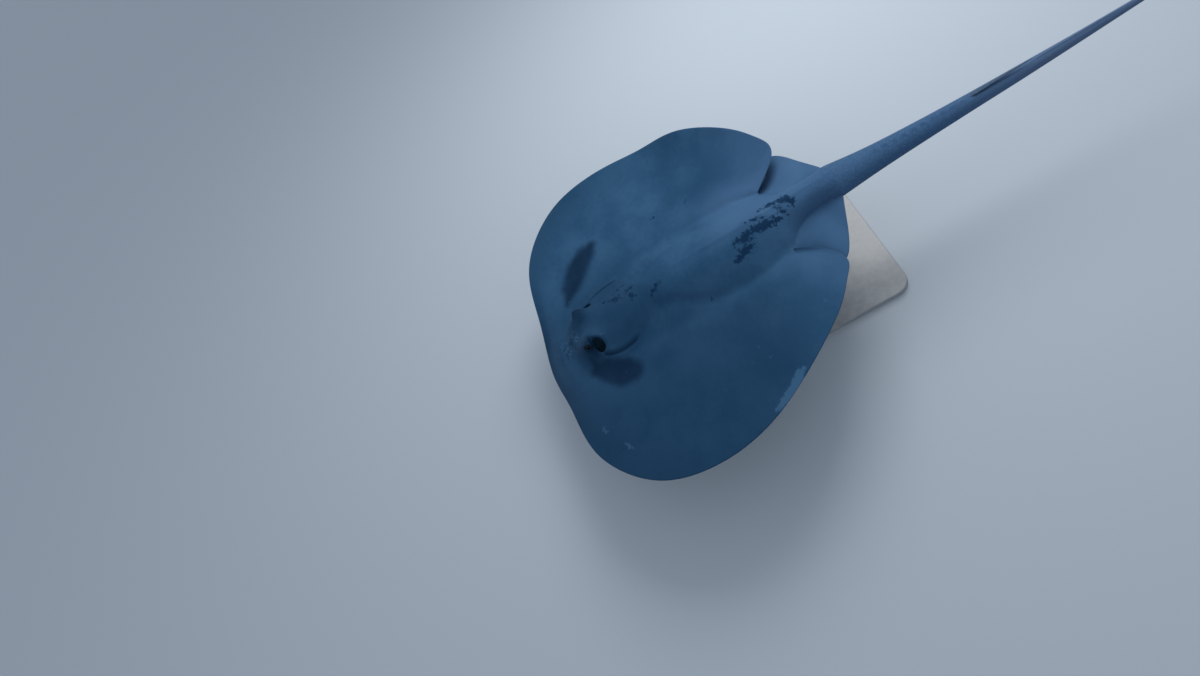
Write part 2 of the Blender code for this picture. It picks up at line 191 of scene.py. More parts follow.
def body_sheets(k, s):
    """Plan place, middle height and thickness of the body at ray k and place s.

    s runs from 0 at the midline through 1 at the fin's root to 2 at its edge,
    negative on the right.  Thickness falls across the trunk as (1 - s^2)^flank
    and along the fin as (1 - way)^taper, and ends in a quarter ellipse.
    """
    side = np.where(s < 0, -1.0, 1.0)
    across = np.minimum(np.abs(s), 1)
    way = np.maximum(np.abs(s) - 1, 0)
    root_x, root_y = ray(0, k, odd=True), ray(1, k)
    edge_x, edge_y, rise = fin_edge(k, side)
    reach = np.hypot(edge_x - root_x, edge_y - root_y)
    x = side * (root_x * across + (edge_x - root_x) * way)
    y = root_y + (edge_y - root_y) * way

    blend = ease((k - NOTCH_RAY) / (ROUND_RAY - NOTCH_RAY))
    flank = 2.0 - 1.5 * blend
    fall = np.maximum(1 - across ** 2, 0) ** flank
    held = ease(way / 0.3)
    middle = along(BACKBONE, 1, y) * (1 - held) + along(BACKBONE, 1, root_y) * held
    middle = middle - root_drop(k) * across ** 4 + rise * way ** WING_CURVE

    from_edge = (1 - way) * reach + (1 - across) * root_x
    nose = np.sqrt(np.maximum(1 - (1 - np.minimum(from_edge / EDGE_ROUND, 1)) ** 2, 0))
    nose = np.where(way > 0, nose, 1)
    taper = (1 - way) ** WING_TAPER * (1 + WING_TAPER * way)
    thick = []
    for number, back in ((6, 2), (7, 3)):
        root = ray(number, k)
        trunk = root + (along(BACKBONE, back, root_y) - root) * fall
        fin = FIN_EDGE + (np.maximum(root, FIN_EDGE) - FIN_EDGE) * taper
        thick.append(np.where(way > 0, fin * nose, trunk))
    return x, y, middle, thick[0], thick[1], from_edge


def stroke(x, y, points):
    """Signed distance to a tapering stroke through (x, y, half width) points.

    For each piece of the stroke: the distance to the nearest place on it, less
    the half width there; the least over all pieces is kept.
    """
    best = np.full(np.shape(x), 1.0)
    for (ax, ay, aw), (bx, by, bw) in zip(points, points[1:]):
        dx, dy = bx - ax, by - ay
        t = np.clip(((x - ax) * dx + (y - ay) * dy) / (dx * dx + dy * dy), 0, 1)
        away = np.hypot(x - ax - t * dx, y - ay - t * dy) - (aw + t * (bw - aw))
        best = np.minimum(best, away)
    return best


# half width of the raised middle of the back, an hourglass from head to tail
PLATEAU = np.array((
    (0.05, 0.030), (0.12, 0.060), (0.18, 0.098), (0.24, 0.128), (0.30, 0.150), (0.36, 0.160),
    (0.41, 0.142), (0.46, 0.105), (0.52, 0.078), (0.58, 0.092), (0.66, 0.140), (0.74, 0.165),
    (0.84, 0.174), (0.92, 0.168), (1.00, 0.135), (1.08, 0.085), (1.20, 0.060), (1.40, 0.050),
))
CHEEK = ((0.128, 0.268, 0), (0.138, 0.288, 0), (0.146, 0.311, 0), (0.150, 0.340, 0),
         (0.150, 0.368, 0), (0.146, 0.394, -0.001), (0.140, 0.410, -0.006))
FOOT = ((0.075, 0.520, 0), (0.110, 0.590, 0), (0.150, 0.680, 0), (0.171, 0.760, 0),
        (0.175, 0.860, 0), (0.172, 0.930, 0), (0.140, 1.000, 0))
TAIL_ROOT_FILL = ((0.128, 1.036, 0), (0.096, 1.074, 0), (0.080, 1.112, -0.010))
HEAD_HOLLOW = ((0.170, 0.230, 0), (0.225, 0.285, 0), (0.225, 0.335, 0))


def back_relief(x, y, from_edge):
    """Height added to the upper side.

    The hourglass of the back stands up inside its outline; cheek grooves, the
    foot of the abdomen and a hollow beside each spiracle are soft valleys; gill
    bars and slow waves of the fins are sines.
    """
    out = np.abs(x)
    half = np.interp(y, PLATEAU[:, 0], PLATEAU[:, 1])
    inside = ease((half + 0.022 - out) / 0.044)
    height = 0.0055 * inside * ease((y - 0.1) / 0.1)
    height -= 0.0045 * bell(stroke(out, y, FOOT), 0.026)
    cheek = stroke(out, y, CHEEK)
    height += 0.0016 * bell(cheek - 0.014, 0.011) - 0.0042 * bell(cheek, 0.007)
    height -= 0.006 * bell(stroke(out, y, HEAD_HOLLOW), 0.05)
    height -= 0.007 * bell(y - 0.515, 0.055) * bell(out - 0.105, 0.045)
    bars = np.sin((y + 0.35 * out) * 2 * math.pi / 0.036)
    bars = bars * bell(y - 0.485, 0.085) * bell(out - 0.105, 0.04)
    height += 0.0012 * bars
    mound = bell(out - 0.066, 0.034) * bell(y - 0.236, np.where(y < 0.236, 0.058, 0.047))
    height += 0.04 * mound
    height += 0.0065 * bell(stroke(out, y, TAIL_ROOT_FILL), 0.03)
    height += 0.0022 * bell(out, 0.01) * window(y, 0.55, 0.2, 1.3, 0.2)
    waves = np.sin(x * 17 + y * 9) * np.sin(y * 13 - x * 6 + 1.0)
    height += 0.0022 * waves * ease((out - 0.24) / 0.1)
    return height * ease(from_edge / 0.05)


MOUTH = ((-0.060, 0.214, 0), (-0.035, 0.207, 0), (0.0, 0.204, 0), (0.035, 0.207, 0), (0.060, 0.214, 0))
NOSTRIL = ((0.046, 0.176, 0.002), (0.060, 0.166, 0.005), (0.070, 0.168, 0.003))
NASAL_GROOVE = ((0.070, 0.170, 0.001), (0.066, 0.188, 0.001), (0.056, 0.203, 0.001))
GILL_STATIONS = ((0.172, 0.405, 0.024), (0.166, 0.450, 0.026), (0.155, 0.494, 0.025),
                 (0.140, 0.536, 0.023), (0.123, 0.575, 0.020))


def gill_slits(x, y):
    """Least signed distance to five S-bent slits on a side, each 40 to 50 mm long."""
    best = np.full(np.shape(x), 1.0)
    for at_x, at_y, half in GILL_STATIONS:
        points = ((at_x + half, at_y - 0.010, 0.0002), (at_x + 0.5 * half, at_y + 0.001, 0.0012),
                  (at_x - 0.3 * half, at_y + 0.001, 0.0014), (at_x - half, at_y + 0.009, 0.0002))
        best = np.minimum(best, stroke(x, y, points))
    return best


def belly_relief(x, y, from_edge):
    """Depth pressed into the under side: mouth, nostrils, gill slits and vent."""
    out = np.abs(x)
    press = 0.01 * bell(stroke(x, y, MOUTH), 0.005)
    press -= 0.003 * bell(stroke(x, y, MOUTH) - 0.011, 0.006)
    press -= 0.0035 * ease((0.052 - out) / 0.012) * window(y, 0.166, 0.008, 0.203, 0.004)
    press += 0.0085 * bell(np.maximum(stroke(out, y, NOSTRIL), 0), 0.0045)
    press += 0.0035 * bell(stroke(out, y, NASAL_GROOVE), 0.004)
    slits = gill_slits(out, y)
    press += 0.006 * bell(np.maximum(slits, 0), 0.0042)
    press -= 0.0022 * bell(slits - 0.01, 0.007)
    vent = stroke(x, y, ((0.0, 1.075, 0.002), (0.0, 1.110, 0.003), (0.0, 1.130, 0.001)))
    press += 0.006 * bell(np.maximum(vent, 0), 0.005)
    return press * ease(from_edge / 0.03)


def skin_point(k, s, upper):
    """A place on the upper or lower sheet of the body, relief included."""
    x, y, middle, above, below, from_edge = body_sheets(k, s)
    if upper:
        z = middle + above + back_relief(x, y, from_edge) * (np.abs(s) < 2)
    else:
        z = middle - below + belly_relief(x, y, from_edge) * (np.abs(s) < 2)
    return np.stack([x, y, z], -1)


# ---- skin: rows and columns ----
# Rows follow the fin rays, closest together on the head and gills.  Columns run
# from the right edge over the back to the left edge, and again under the belly.
# An eye and a spiracle each have a patch of rings of their own on either side.
ROW_KNOTS = (0, 18, 96, 146, 194, 236)
RAY_KNOTS = (0.0, 0.9, 4.0, 6.0, 13.0, 18.0)
rows_k = np.interp(np.arange(ROW_KNOTS[-1] + 1), ROW_KNOTS, RAY_KNOTS)
BACK_COLUMNS = (48, 44)      # from the midline to the root, and along the fin
BELLY_COLUMNS = (40, 24)
EDGE_DISTANCES = (0.0042, 0.0024, 0.0009, 0.0)


def column_places(side, trunk_steps, fin_steps):
    """s of every column on one side, midline to edge, one line per row.

    Across the trunk the steps are even, and turn to sine steps where the tail
    grows round.  Along the fin they are even up to the rounded edge.
    """
    k = rows_k[:, None]
    t = np.linspace(0, 1, trunk_steps + 1)[None, :]
    round_off = ease((k - NOTCH_RAY) / 2.5)
    trunk = t * (1 - round_off) + np.sin(t * math.pi / 2) * round_off
    edge_x, edge_y, _ = fin_edge(k, side)
    reach = np.maximum(np.hypot(edge_x - ray(0, k, odd=True), edge_y - ray(1, k)), 1e-5)
    inner = np.minimum(EDGE_ROUND / reach, 0.5)
    main = np.linspace(0, 1, fin_steps + 1)[None, 1:] * (1 - inner)
    last = 1 - np.array(EDGE_DISTANCES)[None, :] / EDGE_ROUND * inner
    return np.concatenate([trunk, 1 + main, 1 + last], 1)


def full_columns(steps):
    """Columns from the right edge to the left edge."""
    right, left = column_places(-1.0, *steps), column_places(1.0, *steps)
    return np.concatenate([-right[:, :0:-1], left], 1)


def grid_cells(index):
    """Four corners of every cell of an index grid, row by row."""
    return np.stack([index[:-1, :-1], index[:-1, 1:], index[1:, 1:], index[1:, :-1]], -1)


def grid_quads(index, round_columns=False, round_rows=False):
    """The cells of an index grid as a list, closed round its columns or rows if asked."""
    if round_columns:
        index = np.concatenate([index, index[:, :1]], 1)
    if round_rows:
        index = np.concatenate([index, index[:1]], 0)
    return grid_cells(index).reshape(-1, 4)


corners = []
faces = []


def add_corners(place, below, k, way, recess=0.0):
    """Keep a grid of places, each with its side, ray, way out and recess; returns their numbers."""
    shape = place.shape[:2]
    start = sum(len(block) for block in corners)
    kept = [np.broadcast_to(value, shape).reshape(-1, 1) for value in (below, k, way, recess)]
    corners.append(np.concatenate([place.reshape(-1, 3), *kept], 1))
    return start + np.arange(shape[0] * shape[1]).reshape(shape)


back_s = full_columns(BACK_COLUMNS)
belly_s = full_columns(BELLY_COLUMNS)
back_k = np.broadcast_to(rows_k[:, None], back_s.shape)
belly_k = np.broadcast_to(rows_k[:, None], belly_s.shape)
back_grid = skin_point(back_k, back_s, True)
belly_grid = skin_point(belly_k, belly_s, False)
for grid, columns in ((back_grid, back_s), (belly_grid, belly_s)):
    for side in (-1.0, 1.0):
        closing = side * columns[-1] >= 1
        grid[-1, closing] = (side * TAIL[0, 1], TAIL[0, 0], TAIL[0, 4])

back_index = add_corners(back_grid, 0.0, back_k, np.abs(back_s))
belly_index = add_corners(belly_grid, 1.0, belly_k, np.abs(belly_s))
back_cells = grid_cells(back_index)
keep_cells = np.ones(back_cells.shape[:2], bool)

fine_k = np.linspace(0, 6, 3001)
fine_y = ray(1, fine_k)


def head_point(x, y):
    """A place on the upper side of the trunk, from its plan place."""
    k = np.interp(y, fine_y, fine_k)
    return skin_point(k, x / ray(0, k, odd=True), True)


def ring_patch(y_range, s_range, side, rings, shape):
    """Replace a block of back cells by rings round a centre.

    The outer ring is the block's own rim.  shape(turn, ring, rim) gives the
    places, with ring running from 1 at the rim to 0 at the centre.
    """
    k_range = np.interp(y_range, fine_y, fine_k)
    i0, i1 = np.searchsorted(rows_k, k_range)
    middle = back_s.shape[1] // 2
    j = sorted(middle + int(side) * round(s * BACK_COLUMNS[0]) for s in s_range)
    i = np.concatenate([np.arange(i0, i1), np.full(j[1] - j[0], i1),
                        np.arange(i1, i0, -1), np.full(j[1] - j[0], i0)])
    jj = np.concatenate([np.full(i1 - i0, j[0]), np.arange(j[0], j[1]),
                         np.full(i1 - i0, j[1]), np.arange(j[1], j[0], -1)])
    rim = back_grid[i, jj]
    keep_cells[i0:i1, j[0]:j[1]] = False
    place, recess = shape(rim, np.asarray(rings))
    place[0] = rim
    k = np.interp(place[..., 1], fine_y, fine_k)
    index = add_corners(place, 0.0, k, np.abs(place[..., 0] / ray(0, k, odd=True)), recess)
    faces.append(grid_quads(index, round_columns=True))


def ring_plan(rim, rings, hole_ring, centre, radii):
    """Plan places of the rings: from the hole's ellipse out to the block's rim.

    Inside the hole the ellipse shrinks to the centre.
    """
    turn = np.arctan2((rim[:, 1] - centre[1]) / radii[1], (rim[:, 0] - centre[0]) / radii[0])
    ellipse = np.stack([radii[0] * np.cos(turn), radii[1] * np.sin(turn)], -1)
    offset = rim[:, :2] - centre
    way = np.maximum(rings - hole_ring, 0)[:, None, None] / (1 - hole_ring)
    inside = np.minimum(rings / hole_ring, 1)[:, None, None]
    return turn, centre + ellipse[None] * (1 - way) * inside + offset[None] * way


# The eyeball stands out of a fleshy orbit and looks sideways, a little up and
# forward; the skin makes an upper and a lower lid round an almond opening.
EYE_PLACE = np.array((0.0775, 0.224, 0.07))
EYE_RADIUS = 0.017
EYE_GAZE = np.array((0.86, -0.08, 0.5))
EYE_GAZE = EYE_GAZE / np.linalg.norm(EYE_GAZE)
LID_OPENING = (math.radians(34), math.radians(52))      # up and down, fore and aft
LID_RING = 0.4
EYE_RINGS = np.concatenate([np.linspace(1, 0.56, 13), np.linspace(0.53, 0.43, 6),
                            [0.415, 0.405, 0.398, 0.388, 0.37, 0.33, 0.25, 0.15, 0.06, 0.0]])


def eye_axes(side):
    """Gaze, outward-and-down and backward directions of an eye."""
    gaze = EYE_GAZE * (side, 1, 1)
    back = np.array((0.0, 1.0, 0.0)) - EYE_GAZE[1] * gaze
    back = back / np.linalg.norm(back)
    down = np.cross(back, gaze) * side
    down = down if down[2] < 0 else -down
    return gaze, down, back


def about_gaze(side, angle, turn):
    """Unit vectors at an angle from an eye's gaze, turned from its down towards its back."""
    gaze, down, back = eye_axes(side)
    across = np.cos(turn)[..., None] * down + np.sin(turn)[..., None] * back
    return np.cos(angle)[..., None] * gaze + np.sin(angle)[..., None] * across


def lid_opening(turn):
    """Angle from the gaze to the lid's rim in direction turn.

    An ellipse in polar form, cut flatter above, where the upper lid hangs over.
    """
    up, fore = LID_OPENING
    return (1 - 0.12 * (1 - np.cos(turn))) / np.hypot(np.cos(turn) / up, np.sin(turn) / fore)


def orbit_shape(side):
    """The shape of one side's orbit."""
    def shape(rim, rings):
        """Rings that climb from the head on to the lids, then tuck in behind the lens."""
        centre = EYE_PLACE[:2] * (side, 1)
        turn, plan = ring_plan(rim, rings, LID_RING, centre, (0.01, 0.01))
        turn = np.where(side > 0, turn, math.pi - turn)
        base = head_point(plan[..., 0], plan[..., 1])
        brow = 0.5 - 0.5 * np.cos(turn)[None, :]
        opening = lid_opening(turn)[None, :]
        r = rings[:, None]
        outer = np.maximum(r - LID_RING, 0) / (1 - LID_RING)
        angle = np.where(r < LID_RING, opening * r / LID_RING,
                         opening + (math.radians(112) - opening) * outer ** 0.9)
        lid = 0.0014 + 0.0026 * brow
        swell = lid * ease((r - 0.392) / 0.022) + 0.001 * bell(r - 0.46, 0.04)
        sink = 0.004 * ease((LID_RING - r) / 0.03) + 0.004 * ease((0.3 - r) / 0.3)
        radius = EYE_RADIUS + swell - sink
        ball = EYE_PLACE * (side, 1, 1) + radius[..., None] * about_gaze(side, angle, turn[None, :])
        settle = ease((r - 0.48) / 0.44)[..., None]
        recess = ease((0.43 - r) / 0.04) * np.ones_like(turn)[None, :]
        return ball * (1 - settle) + base * settle, recess
    return shape


# The spiracle behind each eye is a wide breathing hole with soft lips that
# leads inwards and down under the eye.
SPIRACLE_PLACE = np.array((0.095, 0.265))
SPIRACLE_RADII = np.array((0.0225, 0.0205))
SPIRACLE_RING = 0.56
SPIRACLE_RINGS = np.concatenate([np.linspace(1, 0.7, 10), np.linspace(0.675, 0.57, 8),
                                 [0.555, 0.54, 0.52, 0.49, 0.45, 0.4, 0.33, 0.25, 0.16, 0.07, 0.0]])


def spiracle_shape(side):
    """The shape of one side's spiracle."""
    def shape(rim, rings):
        """Rings that rise to a lip, turn over it and run down into the hole."""
        centre = SPIRACLE_PLACE * (side, 1)
        turn, plan = ring_plan(rim, rings, SPIRACLE_RING, centre, SPIRACLE_RADII)
        r = rings[:, None]
        inner = np.clip(1 - r / SPIRACLE_RING, 0, 1)
        mouth = centre + SPIRACLE_RADII * np.stack([np.cos(turn), np.sin(turn)], -1)
        close = 1 - 0.3 * inner - 0.7 * ease((inner - 0.55) / 0.45)
        deep = 0.04 * (1 - (1 - inner) ** 2)
        wall = centre + (mouth - centre) * close[..., None] - deep[..., None] * (side * 0.35, 0.25)
        in_hole = inner[..., None] > 0
        flat = np.where(in_hole, wall, plan)
        under_rim = np.where(in_hole, mouth, plan)
        place = head_point(under_rim[..., 0], under_rim[..., 1])
        lip = 0.0032 * bell(r - 0.68, 0.14)
        floor_z = place[-1:, :, 2].mean()
        z = place[..., 2] + lip - deep
        z = z + (floor_z - place[..., 2]) * ease((inner - 0.5) / 0.5)
        recess = ease((inner - 0.03) / 0.22) * np.ones_like(turn)[None, :]
        return np.concatenate([flat, z[..., None]], -1), recess
    return shape


for side in (1.0, -1.0):
    ring_patch((0.166, 0.2400), (0.22, 0.88), side, EYE_RINGS, orbit_shape(side))
    ring_patch((0.2400, 0.318), (0.34, 0.96), side, SPIRACLE_RINGS, spiracle_shape(side))
faces.append(back_cells[keep_cells])
faces.append(grid_quads(belly_index))


# ---- skin: the free tail ----
# Behind the fins the tail is a thick whip, flattened a little, with a row of
# bucklers before the sting, and a low keel and a fold of skin behind it.
TAIL_ROWS = 214
TAIL_ROOT, TAIL_TIP = TAIL[0, 0], TAIL[-1, 0]
TIP_LENGTH = 0.004          # the tip is rounded over this length
tail_y = TAIL_ROOT + (TAIL_TIP - TAIL_ROOT) * (np.arange(1, TAIL_ROWS) / TAIL_ROWS) ** 1.02
tail_y = np.concatenate([tail_y, TAIL_TIP - np.array((0.0025, 0.0008, 0.0))])


def tail_sheets(y, across, upper):
    """Ellipse in cross section, closed by a rounded tip, with keel, fold and bucklers."""
    y, across = np.meshgrid(y, across, indexing="ij")
    tip = np.sqrt(np.maximum(1 - np.maximum(1 - (TAIL_TIP - y) / TIP_LENGTH, 0) ** 2, 0))
    width = along(TAIL, 1, y) * tip
    x = width * across
    round_off = np.sqrt(np.maximum(1 - across ** 2, 0))
    middle = along(TAIL, 4, y)
    if upper:
        z = along(TAIL, 2, y) * round_off * tip
        pitch = np.abs(np.mod(y, 0.034) / 0.034 - 0.45)
        bucklers = window(y, 1.36, 0.05, 1.735, 0.03) * ease(1 - pitch / 0.36)
        z += 0.005 * bucklers * bell(x, 0.006)
        z += 0.0035 * window(y, 1.93, 0.06, 2.3, 0.15) * bell(x, 0.0028)
        return np.stack([x, y, middle + z], -1)
    z = along(TAIL, 3, y) * round_off * tip
    z += 0.011 * window(y, 1.7, 0.1, 2.28, 0.25) * bell(x, 0.003)
    return np.stack([x, y, middle - z], -1)


def halving_faces(front, back):
    """Three triangles for every two front steps that meet one back step."""
    a, b, c = front[:-1:2], front[1::2], front[2::2]
    d, e = back[:-1], back[1:]
    return np.concatenate([np.stack([a, b, d, d], -1), np.stack([b, e, d, d], -1),
                           np.stack([b, c, e, e], -1)])


for upper, grid_index, steps in ((True, back_index, BACK_COLUMNS), (False, belly_index, BELLY_COLUMNS)):
    middle = grid_index.shape[1] // 2
    front = grid_index[-1, middle - steps[0]:middle + steps[0] + 1]
    for count, tail_part in ((steps[0], tail_y[:1]), (steps[0] // 2, tail_y[1:])):
        across = np.sin(np.linspace(-1, 1, count + 1) * math.pi / 2)
        place = tail_sheets(tail_part, across, upper)
        index = add_corners(place, 0.0 if upper else 1.0, LAST_RAY, np.abs(across))
        faces.append(halving_faces(front, index[0]))
        faces.append(grid_quads(index))
        front = index[0]

# coincident corners become one, and cells that lose a corner become triangles
CORNERS_PER_METRE = 4e5
corners = np.concatenate(corners)
_, first, same = np.unique(np.round(corners[:, :3] * CORNERS_PER_METRE).astype(np.int64), axis=0,
                           return_index=True, return_inverse=True)
points = corners[first, :3]
under, ray_marks, way_marks, recess_marks = corners[first, 3:].T
faces = same.reshape(-1)[np.concatenate(faces)]
doubled = faces == np.roll(faces, -1, axis=1)
quads = faces[doubled.sum(1) == 0]
single = faces[doubled.sum(1) == 1]
keep = np.argsort(doubled[doubled.sum(1) == 1], axis=1, kind="stable")[:, :3]
triangles = np.take_along_axis(single, np.sort(keep, axis=1), 1)


def new_mesh_object(name, vertices, polygons):
    """An object at the origin from vertices and lists of corner numbers."""
    mesh = bpy.data.meshes.new(name)
    mesh.from_pydata(np.asarray(vertices, float).tolist(), [], polygons)
    mesh.update()
    piece = bpy.data.objects.new(name, mesh)
    bpy.context.scene.collection.objects.link(piece)
    return piece


def face_outwards(piece, weld=0.0):
    """Join corners closer than weld, turn every face outwards, and shade it smooth."""
    shell = bmesh.new()
    shell.from_mesh(piece.data)
    if weld:
        bmesh.ops.remove_doubles(shell, verts=shell.verts, dist=weld)
    bmesh.ops.recalc_face_normals(shell, faces=shell.faces)
    shell.to_mesh(piece.data)
    shell.free()
    piece.data.shade_smooth()


skin = new_mesh_object("ray_skin", to_frame(points), quads.tolist() + triangles.tolist())
face_outwards(skin)


# ---- skin: colour marks ----
# The back is slate blue with soft dark patches beside the head, partly painted
# shade in the hollows there, dark scars and scratches, worn pale places and a
# pale belly.  Painted shade darkens the left wing, the head, the front rim, the
# cheek grooves, the orbits round the eyes (which also have dark skin), the
# openings under the body, the under side at the pelvic notch and the insides of
# the spiracles; painted light brightens the rear, the right flank and a stroke
# along the left wing's rear edge.  Each kind of mark is a formula over the body,
# kept as one number per corner of the skin.
SCARS = (
    ((-0.019, 0.985, 0.003), (-0.021, 1.015, 0.008), (-0.015, 1.047, 0.011), (-0.004, 1.076, 0.013),
     (0.014, 1.096, 0.013), (0.025, 1.097, 0.010), (0.029, 1.080, 0.004)),
    ((0.006, 1.042, 0.003), (0.018, 1.051, 0.007), (0.030, 1.058, 0.009), (0.041, 1.060, 0.008),
     (0.048, 1.069, 0.004)),
    ((-0.006, 0.918, 0.001), (0.005, 0.951, 0.004), (0.016, 0.985, 0.001)),
    ((0.050, 1.048, 0.004), (0.047, 1.022, 0.011), (0.045, 0.997, 0.013), (0.042, 0.965, 0.014),
     (0.038, 0.939, 0.014), (0.047, 0.915, 0.014), (0.045, 0.887, 0.012), (0.049, 0.857, 0.004)),
    ((0.062, 0.934, 0.004), (0.076, 0.911, 0.010), (0.083, 0.890, 0.012), (0.092, 0.863, 0.012),
     (0.101, 0.846, 0.009), (0.105, 0.827, 0.003)),
    ((-0.057, 0.324, 0.002), (-0.032, 0.379, 0.005), (-0.029, 0.419, 0.006), (-0.026, 0.470, 0.003)),
    ((-0.052, 0.386, 0.001), (-0.058, 0.400, 0.004), (-0.067, 0.427, 0.005), (-0.074, 0.445, 0.002)),
    ((-0.018, 0.376, 0.001), (-0.021, 0.400, 0.005), (-0.022, 0.420, 0.002)),
    ((0.052, 0.516, 0.003), (0.044, 0.530, 0.008), (0.035, 0.545, 0.009), (0.021, 0.568, 0.003)),
    ((0.005, 0.456, 0.003), (0.012, 0.463, 0.005), (0.019, 0.473, 0.002)),
    ((0.167, 0.694, 0.002), (0.166, 0.706, 0.004)),
    ((-0.294, 0.772, 0.002), (-0.296, 0.786, 0.004)),
    ((-0.321, 0.632, 0.002), (-0.322, 0.642, 0.004)),
)
# pale strokes: worn places on the tail root and the left wing's front; the second stroke, along the left
# wing's rear edge, is painted light where that edge turns up
WORN_AND_LIT = (
    ((-0.004, 0.992, 0.006), (0.010, 1.015, 0.012), (0.026, 1.035, 0.012), (0.036, 1.040, 0.006)),
    ((0.648, 0.722, 0.006), (0.628, 0.772, 0.016), (0.600, 0.815, 0.018), (0.565, 0.850, 0.010)),
    ((0.372, 0.150, 0.001), (0.384, 0.156, 0.005), (0.398, 0.160, 0.001)),
    ((0.478, 0.214, 0.001), (0.494, 0.222, 0.004), (0.506, 0.236, 0.001)),
)
# dark patches beside the head: partly the skin's own dark colour, partly painted shade in the hollows
# between head and fins
NEAR_PATCH_AND_SHADE = ((0.106, 0.204, 0.014), (0.158, 0.214, 0.044), (0.188, 0.248, 0.058), (0.228, 0.305, 0.068),
              (0.244, 0.340, 0.052))
FAR_PATCH_AND_SHADE = ((-0.192, 0.182, 0.020), (-0.258, 0.224, 0.056), (-0.316, 0.274, 0.066), (-0.354, 0.324, 0.058),
             (-0.384, 0.366, 0.030))


def least(x, y, strokes):
    """Signed distance to the nearest of several strokes."""
    best = stroke(x, y, strokes[0])
    for line in strokes[1:]:
        best = np.minimum(best, stroke(x, y, line))
    return best


bx, by = points[:, 0], points[:, 1]
out = np.abs(bx)
on_back = 1 - under
near = ease((0.016 - stroke(bx, by, NEAR_PATCH_AND_SHADE)) / 0.052)
far = ease((0.018 - stroke(bx, by, FAR_PATCH_AND_SHADE)) / 0.056)
# painted shade: the left wing, the head and the front rim are darkened, kept in the shade mark
near_wing = ease((bx + 0.05) / 0.4) * ease((1.1 - by) / 0.35)
head_shade = bell(np.maximum(np.hypot(bx / 0.24, (by - 0.3) / 0.26) - 0.45, 0), 0.55)
front_shade = ease((way_marks - 1.55) / 0.4) * ease((6.5 - ray_marks) / 3)
# darker skin round each eye, partly painted shade round the orbit
orbit_shade = bell(np.hypot((out - 0.088) / 0.036, (by - 0.238) / 0.04), 1.0)
# painted light: the rear of the disc and the right flank behind the middle are made paler where the lamp
# falls
rear_painted_light = ease((by - 0.86) / 0.28) * ease((0.46 - bx) / 0.3)
flank_painted_light = ease((by - 0.72) / 0.22) * ease((0.06 - bx) / 0.1)
flank_painted_light = flank_painted_light * ease((bx + 0.34) / 0.16)
# painted shade: near the pelvic notch the under side keeps the back's slate instead of white, dark in the
# gap between lobe and pelvic fin
notch_shade = bell(ray_marks - NOTCH_RAY, 0.9) * ease((way_marks - 1.15) / 0.35)
vent = stroke(bx, by, ((0.0, 1.078, 0.001), (0.0, 1.125, 0.001)))
# mouth, nostrils, gill slits and vent: dark pink tissue and painted shade in these pressed-in openings
opening = np.minimum(np.minimum(stroke(bx, by, MOUTH) - 0.0014, gill_slits(out, by)),
                     np.minimum(stroke(out, by, NOSTRIL), vent))
opening = 1 - ease(opening / 0.0035)
marks = {
    "belly": under * (1 - ease((by - 1.1) / 0.25)) * (1 - notch_shade),
    "ray_number": ray_marks,
    "way_out": way_marks,
    "recess": recess_marks,
    "scar": np.clip(least(bx, by, SCARS) * 100, -1, 4),
    "worn_and_lit": np.clip(least(bx, by, WORN_AND_LIT) * 40, -1, 4),
    "patch_and_shade": np.maximum(near, far) * on_back,
    "shade": 1 - (1 - 0.75 * near_wing) * (1 - 0.6 * head_shade) * (1 - 0.6 * front_shade),
    "orbit": orbit_shade * on_back,
    "painted_light": np.maximum(0.75 * rear_painted_light, flank_painted_light) * on_back,
    "opening": opening * under,
    "faded": ease((by - 1.55) / 0.55),
    "rough": ease((by - 1.06) / 0.22) * ease((0.11 - out) / 0.05),
    "marble": bell(np.hypot((bx - 0.002) / 0.04, (by - 0.142) / 0.062), 1.0) * on_back,
    # painted shade along the cheek grooves
    "groove": bell(stroke(out, by, CHEEK), 0.006) * on_back,
}


def keep_marks(piece, numbers):
    """Store one number for each corner of a mesh, under a name, for its material."""
    for name, values in numbers.items():
        attribute = piece.data.attributes.new(name, "FLOAT", "POINT")
        attribute.data.foreach_set("value", np.asarray(values, np.float32))


keep_marks(skin, marks)


